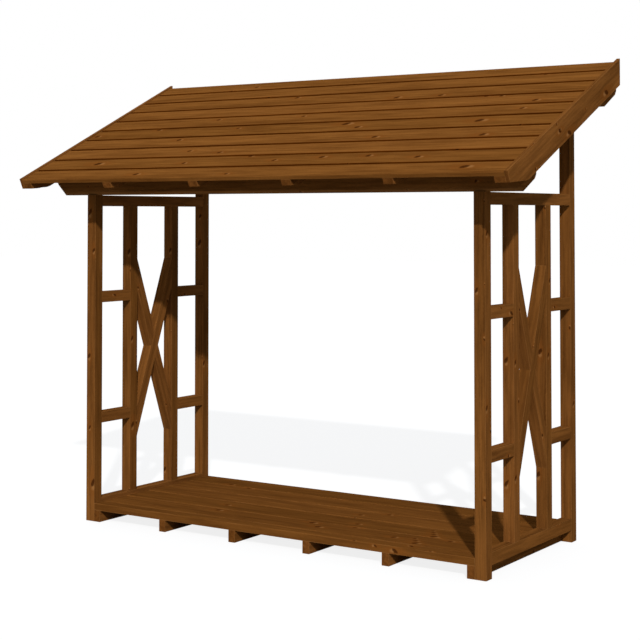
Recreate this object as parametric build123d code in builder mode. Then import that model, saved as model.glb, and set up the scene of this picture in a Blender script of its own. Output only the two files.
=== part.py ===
"""Open log store: two braced side frames, a boarded deck on bearers and a sloping boarded roof.

The origin is the centre of the footprint at ground level, the open front faces -Y and +Z is up.
All sizes are in millimetres.
"""
from build123d import *
import os
from math import acos, atan2, ceil, cos, degrees, hypot, radians, sin, tan

os.makedirs("parts", exist_ok=True)

# Side frames
timber = 47              # side of the planed square timber
arris = 1                # rounding of its long edges
frame_width = 1945       # over the outer faces of the two side frames
frame_depth = 806        # over the front and rear posts
side_bay = 187           # clear gap between a post and the stud beside it
purlin_seat = 1416       # top of the front posts
rail_drop = 1            # top rails below the top of the front posts
lower_noggin = 421       # underside of the lower noggins
upper_noggin = 946       # underside of the upper noggins
brace_reach = 398        # from the crossing of the braces up to their tips on the studs

# Deck
bearer_width = 32
bearer_height = 49
bearer_count = 6
deck_thickness = 30
deck_board = 145         # width of a full deck board
deck_gap = 4             # open joint between deck boards
deck_rounding = 5        # rounding of the upper long edges of a deck board
narrowest_strip = 40     # the front strip is never ripped narrower than this

# Roof
roof_pitch = 25          # degrees
purlin_face = 97         # height of a purlin's front face
eave_overhang = 217      # barge boards in front of the posts
rear_overhang = 5        # barge boards behind the posts
side_overhang = 199      # barge boards outside the side frames
ridge_set_back = 16      # top edge of the boards in front of the barge boards' rear ends
board_thickness = 15
board_cover = 114        # distance from one roof board to the next
eave_board_cover = 109   # the same for the lowest board, which is trimmed
board_groove = 10        # open channel between two boards
board_rounding = 1.5     # rounding of the upper long edges of a roof board
board_lap = 8            # lip under the board above
lap_clearance = 0.5
rafter_width = 44
rafter_height = 45
rafter_count = 6
eave_end_depth = 40      # front ends of rafters and barge boards, from the upper face of the boards
barge_thickness = 15
barge_rise = 6           # barge boards above the upper face of the roof boards
barge_depth = 92         # barge boards below the upper face of the roof boards
eave_cut_rise = 4        # degrees by which the cut under a front end rises towards the back
eave_radius = 110        # easing where that cut meets the lower edge
purlin_end_cut = 46      # slanting cut under each end of a purlin
purlin_arris = 12        # chamfer along the lower edges of a purlin

# Places that follow from the sizes above
slope = radians(roof_pitch)
overall_depth = eave_overhang + frame_depth + rear_overhang
front = eave_overhang - overall_depth / 2
rear = front + frame_depth
eave = front - eave_overhang + barge_rise * sin(slope)
barge_rear = rear + rear_overhang
frame_x = (frame_width - timber) / 2
clear_width = frame_width - 2 * timber
front_post_y = front + timber / 2
rear_post_y = rear - timber / 2
front_stud_y = front + timber + side_bay + timber / 2
rear_stud_y = rear - timber - side_bay - timber / 2
frame_y = (front + rear) / 2
stud_gap = rear_stud_y - front_stud_y - timber
rail_length = frame_depth - 2 * timber
bottom_rail_top = bearer_height + timber
top_rail_top = purlin_seat - rail_drop
top_rail_bottom = top_rail_top - timber
brace_height = (bottom_rail_top + top_rail_bottom) / 2
deck_pitch = deck_board + deck_gap
full_deck_boards = int((frame_depth - narrowest_strip) // deck_pitch)
front_strip = frame_depth - full_deck_boards * deck_pitch
rafter_foot = -board_thickness - rafter_height
roof_top_height = purlin_seat + purlin_face - rafter_foot / cos(slope)  # at the posts' front faces
eave_height = roof_top_height - (front - eave) * tan(slope)
rear_purlin_seat = purlin_seat + (frame_depth - timber) * tan(slope)
roof_half_width = frame_width / 2 + side_overhang
board_length = 2 * (roof_half_width - barge_thickness)
slope_length = (barge_rear - ridge_set_back - eave) / cos(slope)
upper_roof_boards = ceil((slope_length - eave_board_cover) / board_cover)

UP = (0, 0, 1)
BACK = (0, 1, 0)
ACROSS = (1, 0, 0)


def save(piece, name):
    """Label a finished piece and write it to its own file."""
    piece.part.label = name
    export_step(piece.part, f"parts/{name}.step")


def straight_timber(start, direction, length, width, height):
    """A planed timber whose section is centred on its start and whose long edges are rounded."""
    with BuildPart() as piece:
        with BuildSketch(Plane(origin=start, x_dir=ACROSS, z_dir=direction)):
            RectangleRounded(width, height, arris)
        extrude(amount=length)
    return piece


def brace_angle():
    """Angle of the braces from level, with the outer corners of their tips at brace_reach."""
    half_gap = stud_gap / 2
    tip_angle = acos(timber / 2 / hypot(brace_reach, half_gap))
    return degrees(tip_angle - atan2(half_gap, brace_reach))


def brace(centre_x, angle, notch_offset):
    """One brace of a halved cross: cut plumb against both studs and notched half through."""
    face = Plane.YZ.offset(centre_x - timber / 2)
    centre = (frame_y, brace_height)
    with BuildPart() as piece:
        with BuildSketch(face):
            with Locations(centre):
                Rectangle(4 * brace_reach, timber, rotation=angle)
                Rectangle(stud_gap, 4 * brace_reach, mode=Mode.INTERSECT)
        extrude(amount=timber)
        fillet(piece.edges().sort_by(SortBy.LENGTH)[-4:], arris)
        with BuildSketch(face.offset(notch_offset)):
            with Locations(centre):
                Rectangle(4 * brace_reach, timber, rotation=-angle)
        extrude(amount=timber / 2, mode=Mode.SUBTRACT)
    return piece


def side_frame(side, centre_x):
    """Posts, studs, rails, noggins and the crossed braces of one side."""
    uprights = {
        "front_post": (front_post_y, 0, purlin_seat),
        "rear_post": (rear_post_y, 0, rear_purlin_seat),
        "front_stud": (front_stud_y, bottom_rail_top, top_rail_bottom),
        "rear_stud": (rear_stud_y, bottom_rail_top, top_rail_bottom),
    }
    for name, (y, bottom, top) in uprights.items():
        upright = straight_timber((centre_x, y, bottom), UP, top - bottom, timber, timber)
        save(upright, f"{name}_{side}")

    for name, bottom in (("bottom_rail", bearer_height), ("top_rail", top_rail_bottom)):
        start = (centre_x, front + timber, bottom + timber / 2)
        rail = straight_timber(start, BACK, rail_length, timber, timber)
        save(rail, f"{name}_{side}")

    for bay, bay_start in (("front", front + timber), ("rear", rear_stud_y + timber / 2)):
        for level, bottom in (("lower", lower_noggin), ("upper", upper_noggin)):
            start = (centre_x, bay_start, bottom + timber / 2)
            noggin = straight_timber(start, BACK, side_bay, timber, timber)
            save(noggin, f"{level}_{bay}_noggin_{side}")

    angle = brace_angle()
    save(brace(centre_x, angle, 0), f"rising_brace_{side}")
    save(brace(centre_x, -angle, timber / 2), f"falling_brace_{side}")


def bearers():
    """Bearers that run from front to back under the deck, evenly spaced between the posts."""
    pitch = (clear_width - bearer_width) / (bearer_count - 1)
    for number in range(bearer_count):
        x = -clear_width / 2 + bearer_width / 2 + number * pitch
        start = (x, front, bearer_height / 2)
        save(straight_timber(start, BACK, frame_depth, bearer_width, bearer_height), f"bearer_{number + 1}")


def deck_boards(name, width, board_starts):
    """Deck boards of one width, square below and rounded along their upper edges."""
    with BuildPart() as boards:
        with BuildSketch(Plane.YZ.offset(-clear_width / 2)) as section:
            centre_z = bearer_height + deck_thickness / 2
            with Locations([(start + width / 2, centre_z) for start in board_starts]):
                Rectangle(width, deck_thickness)
            fillet(section.vertices().group_by(Axis.Y)[-1], deck_rounding)
        extrude(amount=clear_width)
    save(boards, name)


def slope_section(x):
    """Section plane at x: local X runs up the slope from the eave, local Y stands square to it."""
    return Plane(origin=(x, eave, eave_height), x_dir=(0, cos(slope), sin(slope)), z_dir=ACROSS)


def along_slope(y, rise):
    """Distance up the slope at which a line that lies rise above the boards reaches y."""
    return (y - eave + rise * sin(slope)) / cos(slope)


def roof_board_outline(start, cover):
    """Corners of one roof board, in the slope section; without a cover it runs to the top edge."""
    lip_top = -board_thickness / 2 - lap_clearance / 2
    rebate_top = -board_thickness / 2 + lap_clearance / 2
    rebate_end = start + board_lap + lap_clearance
    corners = [(start, 0)]
    if start > 0:
        corners += [(start, rebate_top), (rebate_end, rebate_top), (rebate_end, -board_thickness)]
    else:
        corners += [(start, -board_thickness)]
    if cover:
        lip_end = start + cover + board_lap
        face_end = start + cover - board_groove
        corners += [(lip_end, -board_thickness), (lip_end, lip_top), (face_end, lip_top), (face_end, 0)]
    else:
        corners += [(slope_length, -board_thickness), (slope_length, 0)]
    return corners


def roof_boards():
    """Lapped boards from the eave to the top, each with a lip under the board above it."""
    starts = [0] + [eave_board_cover + n * board_cover for n in range(upper_roof_boards)]
    covers = [upper - lower for lower, upper in zip(starts, starts[1:])] + [None]
    with BuildPart() as boards:
        with BuildSketch(slope_section(-board_length / 2)) as section:
            for start, cover in zip(starts, covers):
                with BuildLine():
                    Polyline(*roof_board_outline(start, cover), close=True)
                make_face()
            fillet(section.vertices().group_by(Axis.Y)[-1], board_rounding)
        extrude(amount=board_length)
    save(boards, "roof_boards")


def sloping_piece(name, x, width, top, foot):
    """A rafter or barge board: square front end with its lower corner cut away, plumb rear end."""
    cut_end = (-eave_end_depth - foot) / tan(slope - radians(eave_cut_rise))
    with BuildPart() as piece:
        with BuildSketch(slope_section(x)) as section:
            with BuildLine():
                Polyline(
                    (0, top),
                    (0, -eave_end_depth),
                    (cut_end, foot),
                    (along_slope(barge_rear, foot), foot),
                    (along_slope(barge_rear, top), top),
                    close=True,
                )
            make_face()
            heel = section.vertices().sort_by_distance((cut_end, foot))[0]
            fillet(heel, eave_radius)
        extrude(amount=width)
        outline = piece.edges().group_by(Axis.X)
        fillet(outline[0] + outline[-1], arris)
    save(piece, name)


def rafters():
    """Evenly spaced rafters under the boards, the outer two against the barge boards."""
    pitch = (board_length - rafter_width) / (rafter_count - 1)
    for number in range(rafter_count):
        x = -board_length / 2 + number * pitch
        name = f"rafter_{number + 1}"
        sloping_piece(name, x, rafter_width, -board_thickness, rafter_foot)


def barge_boards():
    """Boards that close both sloping sides of the roof and stand a little above it."""
    for side, x in (("left", -roof_half_width), ("right", roof_half_width - barge_thickness)):
        sloping_piece(f"barge_board_{side}", x, barge_thickness, barge_rise, -barge_depth)


def purlin(name, y, seat):
    """A purlin over the posts: ends cut under, lower edges chamfered, top planed to the rafters."""
    tallest = purlin_face + timber
    rafter_plane = Plane(
        origin=slope_section(0).from_local_coords((0, rafter_foot, 0)),
        x_dir=ACROSS,
        z_dir=(0, -sin(slope), cos(slope)),
    )
    with BuildPart() as piece:
        with BuildSketch(Plane.XZ.offset(-y - timber)) as outline:
            with Locations((0, seat + tallest / 2)):
                Rectangle(board_length, tallest)
            chamfer(outline.vertices().group_by(Axis.Y)[0], purlin_end_cut)
        extrude(amount=timber)
        lower_edges = piece.edges().filter_by(
            lambda edge: edge.center().Z < seat + purlin_end_cut and abs(edge.tangent_at(0.5).Y) < 0.5
        )
        chamfer(lower_edges, purlin_arris)
        split(bisect_by=rafter_plane, keep=Keep.BOTTOM)
    save(piece, name)


side_frame("left", -frame_x)
side_frame("right", frame_x)
bearers()
deck_boards("deck_boards", deck_board, [rear - deck_board - n * deck_pitch for n in range(full_deck_boards)])
deck_boards("deck_front_strip", front_strip, [front])
purlin("front_purlin", front, purlin_seat)
purlin("rear_purlin", rear - timber, rear_purlin_seat)
rafters()
barge_boards()
roof_boards()
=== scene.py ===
"""Stained timber, light and camera for the open log store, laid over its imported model.

Metres, in the model's own frame: X across the open front, Y towards the back, Z up.
"""

from math import acos, atan2, cos, hypot, pi, radians, sin, tan

import bpy
from mathutils import Euler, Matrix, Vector


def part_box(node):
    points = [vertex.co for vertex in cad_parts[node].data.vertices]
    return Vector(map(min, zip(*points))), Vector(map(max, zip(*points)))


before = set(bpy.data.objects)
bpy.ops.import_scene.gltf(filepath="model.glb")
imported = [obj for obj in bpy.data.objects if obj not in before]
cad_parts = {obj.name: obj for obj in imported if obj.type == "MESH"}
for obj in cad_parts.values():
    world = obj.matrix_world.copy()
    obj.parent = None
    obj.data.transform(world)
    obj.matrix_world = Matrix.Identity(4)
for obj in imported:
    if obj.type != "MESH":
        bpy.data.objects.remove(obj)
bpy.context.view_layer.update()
scene = bpy.context.scene

# Camera: place in metres, yaw and pitch in degrees, lens and sensor in millimetres
CAMERA_PLACE = (3.43896, -5.12553, 1.33446)
CAMERA_YAW = 33.45
CAMERA_PITCH = 1.77
CAMERA_LENS = 82.817
CAMERA_SENSOR = 36
CAMERA_SHIFT = -0.23714
CAMERA_REACH = 200

# Lamps, each with its strength, its softness in degrees and the way its light travels: a key lamp
# from the front right, and wide fills from straight in front and from the back left
KEY_HEIGHT = radians(33.5)
KEY_TRAVEL = (-0.6 * cos(KEY_HEIGHT), 0.8 * cos(KEY_HEIGHT), -sin(KEY_HEIGHT))
LAMPS = {"key": (2.6, 1.5, KEY_TRAVEL),
         "front_fill": (0.35, 60, (0, 1, -0.1)),
         "back_fill": (0.8, 60, (0.6, -0.75, -0.15))}

# Sky and floor
WHITE = (1, 1, 1, 1)
SKY_STRENGTH = 0.33
SKY_TINT = (0.90, 1.00, 1.12, 1)
FLOOR_SIZE = 60
FLOOR_DROP = 0.0005  # keeps the floor clear of the store's lowest faces
SHADED_FLOOR = (0.34, 0.34, 0.34, 1)  # gives its light back to the store
PALE_FLOOR, FLOOR_GLOW = (0.22, 0.22, 0.22, 1), 0.84  # what is seen of it

# The roof's pitch, and how its boards and the deck's lie
ROOF_PITCH = radians(25)
ROOF_BOARD_PITCH = 0.114
FIRST_ROOF_SEAM = 0.109
ROOF_GROOVE = 0.010
DECK_BOARD_PITCH = 0.149
DECK_GAP = 0.004

# Grain: cells to the metre of each kind of noise, along a timber and across it both ways
BROAD_BANDS = (1.3, 17.0, 17.0)
STREAKS = (6.0, 80.0, 80.0)
FIBRES = (35.0, 900.0, 900.0)
RING_DRIFT = (1.1, 5.0, 5.0)
BAND_CONTRAST = (0.3, 0.7)
RING_DARKENS, RING_ENDS = (0.3, 0.85), (1.0, 0.88)  # slowly through a ring, then sharply
BAND_SHARE, STREAK_SHARE, RING_SHARE = 0.38, 0.42, 0.20
TIMBER_RING = 0.0052
BOARD_RING = 0.0060
HEART_SWAY, HEART_DRIFT, HEART_DEPTH = 0.02, 0.05, 0.03
TURNED_FACE = 3.7  # grain on a timber's side faces is taken this far along from its main faces
CUT_ALONG, CUT_DEEPER = 9.0, 0.05  # how far apart in the log the boards of a set may be cut
SIDE_FACING = 0.71  # past this a face is a side face; an arris at 45 degrees isn't
END_FACING = (0.6, 0.9)  # from here to there a face becomes a sawn end

# Knots, in radii of the knot: where a mark begins and where it is full; a halo is full at one
CORE_EDGE = (1.15, 0.6)
# The pale crescent beside a knot is a painted highlight on its relief
CRESCENT_EDGE = (1.05, 0.35)
CRESCENT_ASIDE = 1.3
HALO_EDGE = 2.4
CORE_STRETCH, CRESCENT_STRETCH, HALO_STRETCH = 0.85, 0.7, 0.35  # below one is longer along X
GRAIN_PULL = -0.8
TIMBER_KNOT_LEAN = 0.7
BOARD_KNOT_LEAN = -0.4  # of scattered knots too
RAGGED_CELLS = (90.0, 140.0, 140.0)
RAGGED_BY = 0.009

# Scattered knots
TIMBER_SCATTER = {"Apart Along": 0.30, "Radius": 0.0065, "Share": 0.3}
BOARD_SCATTER = {"Apart Along": 0.45, "Radius": 0.005}
SCATTER_SPREAD = 0.6  # from 0, in even rows, to 1, anywhere in a cell
SMALLEST_KNOT = 0.4  # of the full radius
NO_KNOT = 0.00001  # a radius too small to leave a mark

# Seeds: each timber has its own, which moves its grain, its scattered knots and its shade
FIRST_SEED, SEED_STEP = 1.0, 1.37
GRAIN_ASIDE = 0.37
SCATTER_STEP = 3.1
SHADE_STEP = 0.618

# Wear: how far in from an edge the stain is rubbed pale; on the purlins this pale band is a painted
# highlight
TIMBER_WEAR = 0.0016
DECK_WEAR = 0.003
PURLIN_HIGHLIGHT = 0.022  # painted highlight that reaches over the chamfer of a purlin's lower edges
PURLIN_TOP_LIFT = 0.02  # keeps a purlin's top edges out of its painted highlight
WEAR_PATCHES = (9.0, 60.0, 60.0)
WEAR_UNEVEN = (2.0, -0.1)  # times the patches' noise, and added to it
OUTSIDE_BOX = -0.0005  # beyond this a spot lies outside the piece's box and isn't rubbed

# Painted shade in the grooves of the roof: how near a board's edge it reaches, and where it ends
# below its face
GROOVE_SHADE_REACH = 0.0065
GROOVE_SHADE_BOTTOM, GROOVE_SHADE_TOP = -0.0145, -0.012

# Stains: a pale and a deep tone of each
FRAME_STAIN = ((0.262, 0.098, 0.0215, 1), (0.106, 0.037, 0.0075, 1))
ROOF_STAIN = ((0.262, 0.100, 0.0205, 1), (0.124, 0.042, 0.0074, 1))
DECK_STAIN = ((0.213, 0.078, 0.0152, 1), (0.107, 0.037, 0.0070, 1))
DEEPEST_SHADE, SHADE_RANGE = 0.92, 0.16
WARMTH = 1.4  # blue falls faster than red and green, so a deeper shade is warmer
HALO_SHARE, HALO_COLOUR = 0.5, (0.200, 0.062, 0.010, 1)
# The crescent's colour is a painted highlight
CRESCENT_HIGHLIGHT_SHARE, CRESCENT_HIGHLIGHT_COLOUR = 0.5, (0.380, 0.175, 0.055, 1)
CORE_SHARE, CORE_COLOUR = 0.88, (0.050, 0.013, 0.002, 1)
# Pale edges: rubbed wear, and on the purlins a painted highlight
WORN_HIGHLIGHT_SHARE, WORN_HIGHLIGHT_COLOUR = 0.35, (0.36, 0.165, 0.052, 1)
END_TINT = (0.80, 0.74, 0.68, 1)
# Painted shade that darkens the roof's grooves
GROOVE_SHADE_TINT = (0.45, 0.28, 0.06, 1)

# Surface: roughness of the stain and what each mark adds, and the same for its height
ROUGHNESS, FIBRE_ROUGHNESS, END_ROUGHNESS, CORE_ROUGHNESS = 0.52, 0.16, 0.15, -0.12
TONE_HEIGHT, CORE_HEIGHT = -0.45, 0.8
RELIEF_STRENGTH, RELIEF_DEPTH = 0.35, 0.0012

FLOAT, VECTOR, COLOUR = "NodeSocketFloat", "NodeSocketVector", "NodeSocketColor"
KNOT_MARKS = {"Bent": VECTOR, "Core": FLOAT, "Halo": FLOAT, "Crescent": FLOAT}

# Timbers that took up more stain
DEEPER = ("front_post_right", "rear_post_left", "bottom_rail_right", "rear_stud_right",
          "rising_brace_right")

# Painted light and shade on the side faces of a timber: how much paler or, below zero, deeper they
# are than its main faces; painted shade on the left frame's inner faces, painted light on the
# right front post's outer face
SIDE_PAINTED_LIGHT_AND_SHADE = {"front_post_left": -1.2, "front_stud_left": -0.9, "rear_stud_left": -1.6,
               "lower_front_noggin_left": -0.7, "lower_rear_noggin_left": -0.7,
               "upper_front_noggin_left": -0.7, "front_post_right": 0.5}

# Knots that stand out on a timber: a spot on its surface, and a radius
TIMBER_KNOTS = {
    "front_post_left": [(-0.935, -0.297, 1.175, 0.008), (-0.957, -0.297, 1.342, 0.011),
                        (-0.959, -0.297, 0.714, 0.009), (-0.933, -0.297, 0.166, 0.014),
                        (-0.954, -0.297, 0.404, 0.007)],
    "front_stud_left": [(-0.935, -0.063, 1.165, 0.011), (-0.9255, -0.052, 0.775, 0.009),
                        (-0.9255, -0.045, 0.388, 0.011)],
    "rear_stud_left": [(-0.935, 0.228, 1.165, 0.009), (-0.964, 0.228, 0.147, 0.008)],
    "rear_post_left": [(-0.943, 0.462, 1.323, 0.008), (-0.946, 0.462, 1.196, 0.012),
                       (-0.9255, 0.470, 0.619, 0.009)],
    "upper_front_noggin_left": [(-0.9255, -0.170, 0.975, 0.007)],
    "front_post_right": [(0.937, -0.297, 1.055, 0.008), (0.9725, -0.284, 1.263, 0.008),
                         (0.9725, -0.289, 0.625, 0.009)],
    "front_stud_right": [(0.940, -0.063, 0.780, 0.009), (0.9725, -0.050, 0.772, 0.008),
                         (0.9725, -0.052, 0.337, 0.009), (0.940, -0.063, 0.316, 0.010)],
    "rear_stud_right": [(0.9725, 0.262, 1.071, 0.008), (0.9725, 0.246, 0.776, 0.008),
                        (0.945, 0.228, 0.791, 0.010), (0.929, 0.228, 1.028, 0.008),
                        (0.935, 0.228, 0.306, 0.010)],
    "upper_front_noggin_right": [(0.9725, -0.169, 0.984, 0.005), (0.9725, -0.081, 0.960, 0.010)],
    "upper_rear_noggin_right": [(0.9725, 0.306, 0.962, 0.006)],
    "rear_post_right": [(0.9725, 0.485, 0.560, 0.008)],
}
STRIP_KNOTS = [(0.588, -0.297, 0.061, 0.010), (0.500, -0.297, 0.070, 0.006),
               (0.640, -0.262, 0.079, 0.008)]

# On the right barge board's outer face: distance up the roof's slope, rise from it, and radius
BARGE_KNOTS = [(0.226, 0.026, 0.011), (0.465, -0.034, 0.009), (0.541, -0.070, 0.012),
               (0.942, -0.063, 0.014)]

# On a set of boards: X, distance up from the front edge, and radius
ROOF_KNOTS = [
    (-0.547, 0.043, 0.012), (-0.073, 0.031, 0.008), (-0.853, 0.164, 0.016), (-0.374, 0.150, 0.009),
    (0.077, 0.158, 0.009), (0.293, 0.179, 0.011), (-0.068, 0.205, 0.009), (-0.437, 0.280, 0.009),
    (-0.262, 0.256, 0.009), (-0.590, 0.412, 0.010), (-1.124, 0.491, 0.010), (-0.799, 0.540, 0.009),
    (-0.348, 0.525, 0.008), (-0.532, 0.641, 0.009), (-0.434, 0.900, 0.009), (-0.259, 0.880, 0.010),
    (-0.078, 0.640, 0.008), (-0.595, 1.054, 0.009), (0.289, 0.818, 0.012), (0.500, 0.819, 0.010),
    (0.202, 0.531, 0.016), (0.279, 0.492, 0.011), (0.823, 0.511, 0.016), (0.974, 0.709, 0.011),
    (0.731, 0.780, 0.009), (0.799, 0.775, 0.008), (0.425, 0.377, 0.011), (0.905, 0.363, 0.012),
    (0.862, 0.221, 0.009), (0.730, 0.163, 0.011), (0.503, 0.185, 0.010), (0.975, 0.060, 0.016),
    (0.897, 1.008, 0.010), (0.954, 0.625, 0.009),
]
DECK_KNOTS = [
    (0.630, 0.163, 0.012), (0.612, 0.190, 0.009), (0.594, 0.220, 0.008), (0.575, 0.250, 0.006),
    (0.624, 0.028, 0.012), (0.605, 0.060, 0.009), (0.585, 0.092, 0.007), (-0.384, 0.112, 0.012),
    (0.091, 0.120, 0.012), (0.153, 0.068, 0.012), (-0.565, 0.583, 0.013), (-0.690, 0.610, 0.010),
    (-0.418, 0.219, 0.010), (0.723, 0.128, 0.009), (0.287, 0.138, 0.010), (0.259, 0.195, 0.010),
    (0.273, 0.421, 0.009), (0.172, 0.355, 0.009), (-0.088, 0.588, 0.010), (0.503, 0.073, 0.010),
]


# ---------------------------------------------------------------- node bench

def feed(tree, socket, value):
    """Join a socket to another one, or set it to a plain value."""
    if isinstance(value, bpy.types.NodeSocket):
        tree.links.new(value, socket)
    else:
        socket.default_value = value


def add(tree, kind, values=(), **settings):
    """Add a node with its settings and its first inputs; None leaves an input as it is."""
    node = tree.nodes.new(kind)
    for name, setting in settings.items():
        setattr(node, name, setting)
    for socket, value in zip(node.inputs, values):
        if value is not None:
            feed(tree, socket, value)
    return node


def maths(tree, operation, *values):
    """Work on numbers."""
    return add(tree, "ShaderNodeMath", values, operation=operation).outputs[0]


def vectors(tree, operation, *values):
    """Work on vectors; a length and a dot product come out as numbers."""
    node = add(tree, "ShaderNodeVectorMath", values, operation=operation)
    return node.outputs["Value" if operation in ("LENGTH", "DOT_PRODUCT") else "Vector"]


def split(tree, vector):
    """X, Y and Z of a vector."""
    return add(tree, "ShaderNodeSeparateXYZ", (vector,)).outputs


def combine(tree, x, y, z):
    """A vector from its X, Y and Z."""
    return add(tree, "ShaderNodeCombineXYZ", (x, y, z)).outputs[0]


def fade(tree, value, start, end):
    """0 at start, 1 at end, with a soft step between them."""
    node = add(tree, "ShaderNodeMapRange", (value, start, end), interpolation_type="SMOOTHSTEP")
    return node.outputs[0]


def noise(tree, place, cells, detail, output="Fac"):
    """Noise with so many cells to the metre in each direction."""
    stretched = vectors(tree, "MULTIPLY", place, cells)
    return add(tree, "ShaderNodeTexNoise", (stretched, None, 1.0, detail)).outputs[output]


def tint(tree, share, first, second, blend_type="MIX"):
    """Mix two colours."""
    node = add(tree, "ShaderNodeMix", data_type="RGBA", blend_type=blend_type)
    for number, value in ((0, share), (6, first), (7, second)):
        feed(tree, node.inputs[number], value)
    return node.outputs[2]


def new_group(name, takes, gives):
    """A shader node group with named inputs and outputs."""
    tree = bpy.data.node_groups.new(name, "ShaderNodeTree")
    for label, kind in takes.items():
        tree.interface.new_socket(label, in_out="INPUT", socket_type=kind)
    for label, kind in gives.items():
        tree.interface.new_socket(label, in_out="OUTPUT", socket_type=kind)
    taken = tree.nodes.new("NodeGroupInput").outputs
    given = tree.nodes.new("NodeGroupOutput").inputs
    return tree, taken, given


def use(tree, group, values):
    """Place a group in a tree with its own values."""
    node = tree.nodes.new("ShaderNodeGroup")
    node.node_tree = group
    for label, value in values.items():
        feed(tree, node.inputs[label], value)
    return node.outputs


# ---------------------------------------------------------------- groups of the stained timber

def face_group():
    """Turns a timber's side faces to the front, so that each face has a grain of its own."""
    takes = {"Place": VECTOR, "Side": VECTOR}
    tree, taken, given = new_group("timber_face", takes, {"Place": VECTOR, "Turned": FLOAT})
    normal = add(tree, "ShaderNodeNewGeometry").outputs["True Normal"]
    facing = maths(tree, "ABSOLUTE", vectors(tree, "DOT_PRODUCT", normal, taken["Side"]))
    side = maths(tree, "GREATER_THAN", facing, SIDE_FACING)
    x, y, z = split(tree, taken["Place"])
    turn = maths(tree, "MULTIPLY", side, maths(tree, "SUBTRACT", z, y))
    shift = maths(tree, "MULTIPLY_ADD", side, TURNED_FACE, x)
    across = maths(tree, "ADD", y, turn)
    depth = maths(tree, "SUBTRACT", z, turn)
    feed(tree, given["Place"], combine(tree, shift, across, depth))
    feed(tree, given["Turned"], side)
    return tree


def knot_group():
    """One knot: a dark leaning core with a pale crescent on one side, which is a painted highlight
    on the knot's relief, a halo along the grain, and the grain bent around it. Lean tilts the core;
    its sign says on which side the crescent is."""
    takes = {**KNOT_MARKS, "Centre": VECTOR, "Radius": FLOAT, "Lean": FLOAT}
    tree, taken, given = new_group("knot", takes, KNOT_MARKS)
    radius, lean = taken["Radius"], taken["Lean"]
    x, y, _ = split(tree, vectors(tree, "SUBTRACT", taken["Bent"], taken["Centre"]))

    def distance(along):
        return vectors(tree, "LENGTH", combine(tree, along, y, 0.0))

    def radii(number):
        return maths(tree, "MULTIPLY", radius, number)

    begins, full = CORE_EDGE
    stretched = maths(tree, "MULTIPLY", x, CORE_STRETCH)
    leaning = maths(tree, "MULTIPLY_ADD", y, lean, stretched)
    core = fade(tree, distance(leaning), radii(begins), radii(full))

    begins, full = CRESCENT_EDGE
    aside = maths(tree, "MULTIPLY", maths(tree, "SIGN", lean), CRESCENT_ASIDE)
    beside = maths(tree, "MULTIPLY_ADD", radius, aside, x)
    from_crescent = distance(maths(tree, "MULTIPLY", beside, CRESCENT_STRETCH))
    crescent = fade(tree, from_crescent, radii(begins), radii(full))

    drawn_out = distance(maths(tree, "MULTIPLY", x, HALO_STRETCH))
    halo = fade(tree, drawn_out, radii(HALO_EDGE), radius)

    closeness = maths(tree, "DIVIDE", radius, maths(tree, "MAXIMUM", drawn_out, 0.0001))
    near = maths(tree, "MINIMUM", maths(tree, "POWER", closeness, 2.0), 1.0)
    pull = maths(tree, "MULTIPLY", near, GRAIN_PULL)
    bend = combine(tree, 0.0, maths(tree, "MULTIPLY", y, pull), 0.0)
    feed(tree, given["Bent"], vectors(tree, "ADD", taken["Bent"], bend))
    for label, mark in (("Core", core), ("Halo", halo), ("Crescent", crescent)):
        feed(tree, given[label], maths(tree, "MAXIMUM", taken[label], mark))
    return tree


def scattered_knots_group(knot):
    """Knots scattered one to a cell; Share of the cells have one."""
    takes = {"Place": VECTOR, "Seed": FLOAT, "First": FLOAT, "Apart Along": FLOAT,
             "Apart Across": FLOAT, "Radius": FLOAT, "Share": FLOAT}
    tree, taken, given = new_group("scattered_knots", takes, KNOT_MARKS)
    x, y, z = split(tree, taken["Place"])
    from_first = maths(tree, "SUBTRACT", y, taken["First"])
    along = maths(tree, "ADD", maths(tree, "DIVIDE", x, taken["Apart Along"]), taken["Seed"])
    across = maths(tree, "DIVIDE", from_first, taken["Apart Across"])
    cells = add(tree, "ShaderNodeTexVoronoi", voronoi_dimensions="2D")
    feed(tree, cells.inputs["Vector"], combine(tree, along, across, 0.0))
    feed(tree, cells.inputs["Scale"], 1.0)
    feed(tree, cells.inputs["Randomness"], SCATTER_SPREAD)
    cell_x, cell_y, _ = split(tree, cells.outputs["Position"])
    unseeded = maths(tree, "SUBTRACT", cell_x, taken["Seed"])
    centre_x = maths(tree, "MULTIPLY", unseeded, taken["Apart Along"])
    centre_y = maths(tree, "MULTIPLY_ADD", cell_y, taken["Apart Across"], taken["First"])
    chance = split(tree, cells.outputs["Color"])
    there = maths(tree, "LESS_THAN", chance[1], taken["Share"])
    part = maths(tree, "MULTIPLY_ADD", chance[0], 1.0 - SMALLEST_KNOT, SMALLEST_KNOT)
    size = maths(tree, "MULTIPLY", taken["Radius"], part)
    radius = maths(tree, "MAXIMUM", maths(tree, "MULTIPLY", size, there), NO_KNOT)
    found = use(tree, knot, {"Bent": taken["Place"], "Radius": radius, "Lean": BOARD_KNOT_LEAN,
                             "Centre": combine(tree, centre_x, centre_y, z)})
    for label in KNOT_MARKS:
        feed(tree, given[label], found[label])
    return tree


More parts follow.
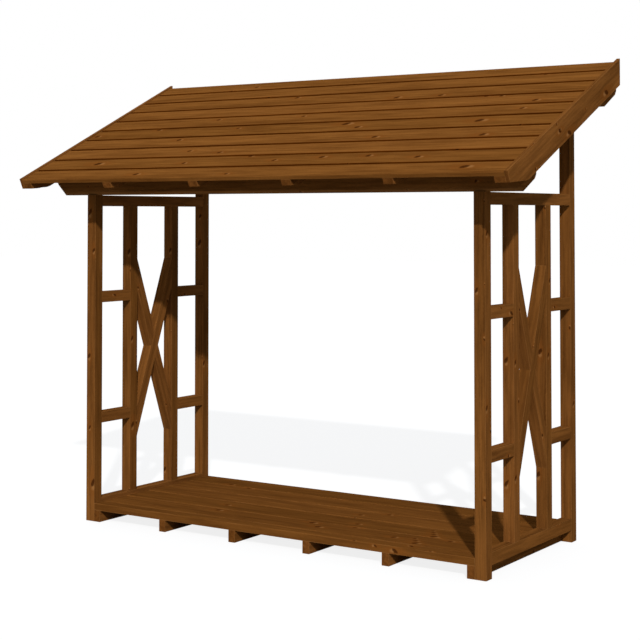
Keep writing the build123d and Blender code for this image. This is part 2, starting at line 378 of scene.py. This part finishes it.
def boards_group():
    """Parts a set of boards: each board has its own grain and its own shade."""
    takes = {"Place": VECTOR, "Bent": VECTOR, "First": FLOAT, "Pitch": FLOAT}
    gives = {"Bent": VECTOR, "Shade": FLOAT, "Across": FLOAT}
    tree, taken, given = new_group("set_of_boards", takes, gives)
    first, pitch = taken["First"], taken["Pitch"]
    across = maths(tree, "SUBTRACT", split(tree, taken["Place"])[1], first)
    number = maths(tree, "FLOOR", maths(tree, "DIVIDE", across, pitch))
    draw = add(tree, "ShaderNodeTexWhiteNoise", noise_dimensions="1D")
    feed(tree, draw.inputs["W"], number)
    chance = draw.outputs["Value"]
    middle = maths(tree, "MULTIPLY_ADD", maths(tree, "ADD", number, 0.5), pitch, first)
    x, y, z = split(tree, taken["Bent"])
    shifted_x = maths(tree, "MULTIPLY_ADD", chance, CUT_ALONG, x)
    centred_y = maths(tree, "SUBTRACT", y, middle)
    shifted_z = maths(tree, "MULTIPLY_ADD", chance, CUT_DEEPER, z)
    edge = maths(tree, "MULTIPLY", number, pitch)
    feed(tree, given["Bent"], combine(tree, shifted_x, centred_y, shifted_z))
    feed(tree, given["Shade"], chance)
    feed(tree, given["Across"], maths(tree, "SUBTRACT", across, edge))
    return tree


def grain_group():
    """Softwood grain along X: broad bands and streaks, growth rings around a heart to one side,
    and fine fibres."""
    takes = {"Place": VECTOR, "Seed": FLOAT, "Ring": FLOAT}
    tree, taken, given = new_group("grain", takes, {"Tone": FLOAT, "Fibre": FLOAT})
    seed = taken["Seed"]
    own = combine(tree, seed, maths(tree, "MULTIPLY", seed, GRAIN_ASIDE), seed)
    moved = vectors(tree, "ADD", taken["Place"], own)
    bands = fade(tree, noise(tree, moved, BROAD_BANDS, 2.0), *BAND_CONTRAST)
    streaks = fade(tree, noise(tree, moved, STREAKS, 2.0), *BAND_CONTRAST)
    drift = maths(tree, "MULTIPLY", noise(tree, moved, RING_DRIFT, 1.0), HEART_DRIFT)
    _, y, z = split(tree, taken["Place"])
    heart_y = maths(tree, "MULTIPLY_ADD", maths(tree, "SINE", seed), HEART_SWAY, drift)
    from_heart = combine(tree, 0.0, maths(tree, "ADD", y, heart_y),
                         maths(tree, "ADD", z, HEART_DEPTH))
    rings = maths(tree, "DIVIDE", vectors(tree, "LENGTH", from_heart), taken["Ring"])
    ring = maths(tree, "FRACT", rings)
    late_wood = maths(tree, "MULTIPLY", fade(tree, ring, *RING_DARKENS),
                      fade(tree, ring, *RING_ENDS))
    tone = maths(tree, "MULTIPLY", bands, BAND_SHARE)
    tone = maths(tree, "MULTIPLY_ADD", streaks, STREAK_SHARE, tone)
    tone = maths(tree, "MULTIPLY_ADD", late_wood, RING_SHARE, tone)
    feed(tree, given["Tone"], tone)
    feed(tree, given["Fibre"], noise(tree, moved, FIBRES, 1.0))
    return tree


def worn_and_highlit_edges_group():
    """Arrises paled, by rubbed wear and, along a purlin's lower chamfer, as a painted highlight:
    where two sides of a piece's box are both within Width.
    """
    takes = {"Place": VECTOR, "Half Size": VECTOR, "Width": FLOAT}
    tree, taken, given = new_group("worn_and_highlit_edges", takes, {"Mask": FLOAT})
    from_middle = vectors(tree, "ABSOLUTE", taken["Place"])
    x, y, z = split(tree, vectors(tree, "SUBTRACT", taken["Half Size"], from_middle))
    long_edges = maths(tree, "MAXIMUM", y, z)
    end_edges = maths(tree, "MAXIMUM", x, maths(tree, "MINIMUM", y, z))
    nearest = maths(tree, "MINIMUM", long_edges, end_edges)
    patches = noise(tree, taken["Place"], WEAR_PATCHES, 2.0)
    uneven = maths(tree, "MULTIPLY_ADD", patches, *WEAR_UNEVEN)
    reach = maths(tree, "MULTIPLY", taken["Width"], uneven)
    outside = maths(tree, "LESS_THAN", nearest, OUTSIDE_BOX)
    rubbed = fade(tree, nearest, reach, 0.0)
    feed(tree, given["Mask"], maths(tree, "SUBTRACT", rubbed, outside))
    return tree


def end_grain_group():
    """Marks the sawn ends, which face along the grain and drink more stain."""
    tree, taken, given = new_group("end_grain", {"Along": VECTOR}, {"Mask": FLOAT})
    normal = add(tree, "ShaderNodeNewGeometry").outputs["True Normal"]
    facing = maths(tree, "ABSOLUTE", vectors(tree, "DOT_PRODUCT", normal, taken["Along"]))
    feed(tree, given["Mask"], fade(tree, facing, *END_FACING))
    return tree


def stain_group():
    """Brown stain over the grain: colour, roughness and height of the surface."""
    masks = ("Tone", "Fibre", "Shade", "Core", "Halo", "Crescent", "End", "Worn", "Pooled")
    takes = {"Pale": COLOUR, "Deep": COLOUR, **{label: FLOAT for label in masks}}
    gives = {"Colour": COLOUR, "Roughness": FLOAT, "Height": FLOAT}
    tree, taken, given = new_group("stain", takes, gives)

    shade = maths(tree, "MULTIPLY_ADD", taken["Shade"], SHADE_RANGE, DEEPEST_SHADE)
    shaded = combine(tree, shade, shade, maths(tree, "POWER", shade, WARMTH))
    colour = tint(tree, taken["Tone"], taken["Pale"], taken["Deep"])
    colour = tint(tree, 1.0, colour, shaded, "MULTIPLY")
    # Halo and core are the wood's own; the crescent is a painted highlight
    for label, share, mark in (("Halo", HALO_SHARE, HALO_COLOUR),
                               ("Crescent", CRESCENT_HIGHLIGHT_SHARE, CRESCENT_HIGHLIGHT_COLOUR),
                               ("Core", CORE_SHARE, CORE_COLOUR)):
        colour = tint(tree, maths(tree, "MULTIPLY", taken[label], share), colour, mark)
    colour = tint(tree, taken["End"], colour, END_TINT, "MULTIPLY")
    # Pale edges: rubbed wear, and a painted highlight along the purlins' lower chamfers
    worn_and_highlit = maths(tree, "MULTIPLY", taken["Worn"], WORN_HIGHLIGHT_SHARE)
    colour = tint(tree, worn_and_highlit, colour, WORN_HIGHLIGHT_COLOUR)
    # Painted shade in the roof's grooves
    colour = tint(tree, taken["Pooled"], colour, GROOVE_SHADE_TINT, "MULTIPLY")
    feed(tree, given["Colour"], colour)

    rough = maths(tree, "MULTIPLY_ADD", taken["Fibre"], FIBRE_ROUGHNESS, ROUGHNESS)
    rough = maths(tree, "MULTIPLY_ADD", taken["End"], END_ROUGHNESS, rough)
    rough = maths(tree, "MULTIPLY_ADD", taken["Core"], CORE_ROUGHNESS, rough)
    feed(tree, given["Roughness"], rough)

    height = maths(tree, "MULTIPLY_ADD", taken["Tone"], TONE_HEIGHT, taken["Fibre"])
    height = maths(tree, "MULTIPLY_ADD", taken["Core"], CORE_HEIGHT, height)
    feed(tree, given["Height"], height)
    return tree


TIMBER_FACE = face_group()
KNOT = knot_group()
SCATTERED_KNOTS = scattered_knots_group(KNOT)
SET_OF_BOARDS = boards_group()
GRAIN = grain_group()
WORN_AND_HIGHLIT_EDGES = worn_and_highlit_edges_group()
END_GRAIN = end_grain_group()
STAIN = stain_group()


# ---------------------------------------------------------------- pieces and their grain

def brace_lean(node):
    """Angle of a brace from level, from the box that it fills between the studs."""
    low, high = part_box(node)
    thick, deep, tall = (high[axis] - low[axis] for axis in range(3))
    return acos(thick / hypot(tall, deep)) - atan2(deep, tall)


def grain_turn(name):
    """Rotation that lays X along a piece's grain."""
    if name == "roof_boards":
        return Euler((ROOF_PITCH, 0, 0))
    if "purlin" in name or "deck" in name:
        return Euler((0, 0, 0))
    lean = 0.0
    if "post" in name or "stud" in name:
        lean = pi / 2
    elif "rafter" in name or "barge" in name:
        lean = ROOF_PITCH
    elif "rising_brace" in name:
        lean = brace_lean(name)
    elif "falling_brace" in name:
        lean = -brace_lean(name)
    return Euler((0, -lean, pi / 2))


def own_box(name, turn):
    """Lowest and highest corner of a piece in its own directions, X along the grain."""
    back = turn.to_matrix().transposed()
    corners = [back @ vertex.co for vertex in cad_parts[name].data.vertices]
    low = Vector(min(corner[axis] for corner in corners) for axis in range(3))
    high = Vector(max(corner[axis] for corner in corners) for axis in range(3))
    return low, high


def start_material(name, origin, turn):
    """A material with its coordinates laid along the grain from an origin of its own."""
    material = bpy.data.materials.new(f"stained_{name}")
    material.use_nodes = True
    tree = material.node_tree
    coordinates = add(tree, "ShaderNodeTexCoord").outputs["Object"]
    laid = (coordinates, turn.to_matrix() @ origin, tuple(turn))
    return material, tree, add(tree, "ShaderNodeMapping", laid, vector_type="TEXTURE").outputs[0]


def ragged(tree, place):
    """The same place a little blurred, so that knots have uneven outlines."""
    cloud = noise(tree, place, RAGGED_CELLS, 2.0, "Color")
    centred = vectors(tree, "SUBTRACT", cloud, (0.5, 0.5, 0.5))
    blur = vectors(tree, "MULTIPLY", centred, (RAGGED_BY, RAGGED_BY, 0.0))
    return vectors(tree, "ADD", place, blur)


def mark_knots(tree, scattered, knots, lean):
    """Add single knots, each given by its centre and radius. Each starts from what the one before
    it gives, because side by side they are too many for a shader to hold at once."""
    marked = scattered
    for centre, radius in knots:
        before = {label: marked[label] for label in KNOT_MARKS}
        marked = use(tree, KNOT, {**before, "Centre": centre, "Radius": radius, "Lean": lean})
    return marked


def face_centre(spot, middle, half, turn):
    """A knot's centre as its face has it, from a spot on the surface."""
    offset = turn.to_matrix().transposed() @ Vector(spot) - middle
    on_side = abs(abs(offset.y) - half.y) < abs(abs(offset.z) - half.z)
    if on_side:
        return (offset.x + TURNED_FACE, offset.z, offset.y)
    return tuple(offset)


def finish_piece(name, material, turn, stain, grain, knotty, **masks):
    """Stain the grain, hand it to the shader and give the piece its material."""
    tree = material.node_tree
    pale, deep = stain
    ends = use(tree, END_GRAIN, {"Along": turn.to_matrix().col[0]})["Mask"]
    marks = {label: knotty[label] for label in ("Core", "Halo", "Crescent")}
    stained = use(tree, STAIN, {"Pale": pale, "Deep": deep, "Tone": grain["Tone"],
                                "Fibre": grain["Fibre"], "End": ends, **marks, **masks})
    relief = add(tree, "ShaderNodeBump")
    feed(tree, relief.inputs["Strength"], RELIEF_STRENGTH)
    feed(tree, relief.inputs["Distance"], RELIEF_DEPTH)
    feed(tree, relief.inputs["Height"], stained["Height"])
    shader = tree.nodes["Principled BSDF"]
    shader.inputs["Specular IOR Level"].default_value = 0.0
    feed(tree, shader.inputs["Base Color"], stained["Colour"])
    feed(tree, shader.inputs["Roughness"], stained["Roughness"])
    feed(tree, shader.inputs["Normal"], relief.outputs["Normal"])
    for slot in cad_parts[name].material_slots:
        slot.material = material


def stain_timber(name, seed, stain, wear_and_highlight, knots):
    """Finish one timber of the frames, the roof or the deck."""
    turn = grain_turn(name)
    low, high = own_box(name, turn)
    middle, half = (low + high) / 2, (high - low) / 2
    material, tree, place = start_material(name, middle, turn)
    face = use(tree, TIMBER_FACE, {"Place": place, "Side": turn.to_matrix().col[1]})
    scattered = use(tree, SCATTERED_KNOTS, {"Place": ragged(tree, face["Place"]),
                                            "Seed": seed * SCATTER_STEP, "First": -half.y,
                                            "Apart Across": 2 * half.y, **TIMBER_SCATTER})
    marks = [(face_centre(spot, middle, half, turn), radius) for *spot, radius in knots]
    knotty = mark_knots(tree, scattered, marks, TIMBER_KNOT_LEAN)
    grain = use(tree, GRAIN, {"Place": knotty["Bent"], "Seed": seed, "Ring": TIMBER_RING})
    edge_place, edge_half = place, half
    # A purlin's pale band is a painted highlight along its lower chamfer, kept off its top edges
    if "purlin" in name:
        lift = Vector((0, 0, PURLIN_TOP_LIFT))
        edge_place, edge_half = vectors(tree, "SUBTRACT", place, lift), half + lift
    worn_and_highlit = use(tree, WORN_AND_HIGHLIT_EDGES, {"Place": edge_place, "Half Size": edge_half, "Width": wear_and_highlight})
    shade = 0.0 if name in DEEPER else (seed * SHADE_STEP) % 1.0
    # Painted shade on the left frame's inner side faces, painted light on the right front post's
    # outer side
    side_painted_light_and_shade = SIDE_PAINTED_LIGHT_AND_SHADE.get(name, 0.0)
    shade = maths(tree, "MULTIPLY_ADD", face["Turned"], side_painted_light_and_shade, shade)
    finish_piece(name, material, turn, stain, grain, knotty, Shade=shade, Worn=worn_and_highlit["Mask"])


def stain_board_set(name, seed, stain, first, pitch, gap, knots, share, wear_and_highlight, groove_shading):
    """Finish boards that lie side by side, measured from the front edge of their faces."""
    turn = grain_turn(name)
    low, high = own_box(name, turn)
    half = Vector(((high.x - low.x) / 2, (pitch - gap) / 2, (high.z - low.z) / 2))
    front_edge = Vector(((low.x + high.x) / 2, low.y, high.z))
    material, tree, place = start_material(name, front_edge, turn)
    scattered = use(tree, SCATTERED_KNOTS, {"Place": ragged(tree, place),
                                            "Seed": seed * SCATTER_STEP, "First": first,
                                            "Apart Across": pitch, "Share": share,
                                            **BOARD_SCATTER})
    marks = [((x, up, 0.0), radius) for x, up, radius in knots]
    knotty = mark_knots(tree, scattered, marks, BOARD_KNOT_LEAN)
    board = use(tree, SET_OF_BOARDS, {"Place": place, "Bent": knotty["Bent"], "First": first,
                                      "Pitch": pitch})
    grain = use(tree, GRAIN, {"Place": board["Bent"], "Seed": seed, "Ring": BOARD_RING})
    x, _, depth = split(tree, place)
    across = maths(tree, "SUBTRACT", board["Across"], half.y)
    edge_place = combine(tree, x, across, maths(tree, "ADD", depth, half.z))
    worn_and_highlit = use(tree, WORN_AND_HIGHLIT_EDGES, {"Place": edge_place, "Half Size": half, "Width": wear_and_highlight})
    # Painted shade inside the grooves between the roof's boards
    from_gap = maths(tree, "SUBTRACT", half.y, maths(tree, "ABSOLUTE", across))
    beside_gap = fade(tree, from_gap, GROOVE_SHADE_REACH, 0.0)
    above_lap = fade(tree, depth, GROOVE_SHADE_BOTTOM, GROOVE_SHADE_TOP)
    groove_shade = maths(tree, "MULTIPLY", maths(tree, "MULTIPLY", beside_gap, above_lap), groove_shading)
    finish_piece(name, material, turn, stain, grain, knotty, Shade=board["Shade"],
                 Worn=worn_and_highlit["Mask"], Pooled=groove_shade)


def barge_spot(up, rise, radius):
    """A knot on the outer face of the right barge board, from its distance up the roof's slope
    and its rise from it."""
    low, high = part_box("roof_boards")
    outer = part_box("barge_board_right")[1][0]
    eave_z = high[2] - (high[1] - low[1]) * tan(ROOF_PITCH)
    y = low[1] + up * cos(ROOF_PITCH) - rise * sin(ROOF_PITCH)
    z = eave_z + up * sin(ROOF_PITCH) + rise * cos(ROOF_PITCH)
    return (outer, y, z, radius)


# ---------------------------------------------------------------- light, floor and camera

def seen_directly(tree):
    """1 for rays that show the surroundings: from the camera, in a gloss or through glass."""
    path = add(tree, "ShaderNodeLightPath").outputs
    share = maths(tree, "ADD", path["Is Camera Ray"], path["Is Glossy Ray"])
    share = maths(tree, "ADD", share, path["Is Transmission Ray"])
    return maths(tree, "MINIMUM", share, 1.0)


def light_the_sky():
    """An even white sky that looks plain white and lights the store less."""
    world = bpy.data.worlds.new("studio_sky")
    scene.world = world
    world.use_nodes = True
    tree = world.node_tree
    tree.nodes.clear()
    seen = seen_directly(tree)
    colour = tint(tree, seen, SKY_TINT, WHITE)
    strength = maths(tree, "MULTIPLY_ADD", seen, 1.0 - SKY_STRENGTH, SKY_STRENGTH)
    sky = add(tree, "ShaderNodeBackground", (colour, strength))
    add(tree, "ShaderNodeOutputWorld", (sky.outputs[0],))


def hang_lamp(name, strength, softness, travel):
    """A lamp far away, whose light all travels one way."""
    data = bpy.data.lights.new(name, "SUN")
    data.energy = strength
    data.angle = radians(softness)
    lamp = bpy.data.objects.new(name, data)
    scene.collection.objects.link(lamp)
    lamp.rotation_euler = Vector(travel).to_track_quat("-Z", "Y").to_euler()


def lay_floor():
    """A wide pale floor that keeps a faint shadow and gives little light back."""
    bpy.ops.object.select_all(action="DESELECT")
    bpy.ops.mesh.primitive_plane_add(size=FLOOR_SIZE, location=(0, 0, -FLOOR_DROP))
    bpy.ops.object.transform_apply(location=True)
    floor = bpy.context.object
    floor.name = "floor"
    material = bpy.data.materials.new("pale_floor")
    material.use_nodes = True
    tree = material.node_tree
    tree.nodes.clear()
    shaded = add(tree, "ShaderNodeBsdfDiffuse", (SHADED_FLOOR,)).outputs[0]
    pale = add(tree, "ShaderNodeBsdfDiffuse", (PALE_FLOOR,)).outputs[0]
    glow = add(tree, "ShaderNodeEmission", (WHITE, FLOOR_GLOW)).outputs[0]
    glowing = add(tree, "ShaderNodeAddShader", (pale, glow)).outputs[0]
    surface = add(tree, "ShaderNodeMixShader", (seen_directly(tree), shaded, glowing)).outputs[0]
    add(tree, "ShaderNodeOutputMaterial", (surface,))
    floor.data.materials.append(material)


def place_camera():
    """The camera, in front of the store and to its right, turned by its yaw and pitch."""
    yaw, pitch = radians(CAMERA_YAW), radians(CAMERA_PITCH)
    data = bpy.data.cameras.new("camera")
    data.sensor_width = CAMERA_SENSOR
    data.lens = CAMERA_LENS
    data.shift_y = CAMERA_SHIFT
    data.clip_end = CAMERA_REACH
    camera = bpy.data.objects.new("camera", data)
    scene.collection.objects.link(camera)
    camera.location = CAMERA_PLACE
    aim = Vector((-sin(yaw) * cos(pitch), cos(yaw) * cos(pitch), sin(pitch)))
    camera.rotation_euler = aim.to_track_quat("-Z", "Y").to_euler()
    scene.camera = camera


# ---------------------------------------------------------------- the store

single_knots = {**TIMBER_KNOTS, "barge_board_right": [barge_spot(*knot) for knot in BARGE_KNOTS]}
for number, piece in enumerate(sorted(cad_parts)):
    if "boards" in piece or "strip" in piece:
        continue
    stain_timber(piece, seed=FIRST_SEED + number * SEED_STEP, stain=FRAME_STAIN,
                 wear_and_highlight=PURLIN_HIGHLIGHT if "purlin" in piece else TIMBER_WEAR,
                 knots=single_knots.get(piece, []))
stain_board_set("roof_boards", seed=2.3, stain=ROOF_STAIN,
                first=FIRST_ROOF_SEAM - ROOF_BOARD_PITCH, pitch=ROOF_BOARD_PITCH, gap=ROOF_GROOVE,
                knots=ROOF_KNOTS, share=0.1, wear_and_highlight=0.0, groove_shading=1.0)
stain_board_set("deck_boards", seed=5.1, stain=DECK_STAIN,
                first=0.0, pitch=DECK_BOARD_PITCH, gap=DECK_GAP,
                knots=DECK_KNOTS, share=0.4, wear_and_highlight=DECK_WEAR, groove_shading=0.0)
stain_timber("deck_front_strip", seed=8.7, stain=DECK_STAIN, wear_and_highlight=DECK_WEAR, knots=STRIP_KNOTS)

light_the_sky()
for name, lamp in LAMPS.items():
    hang_lamp(name, *lamp)
lay_floor()
place_camera()
scene.view_settings.view_transform = "Standard"
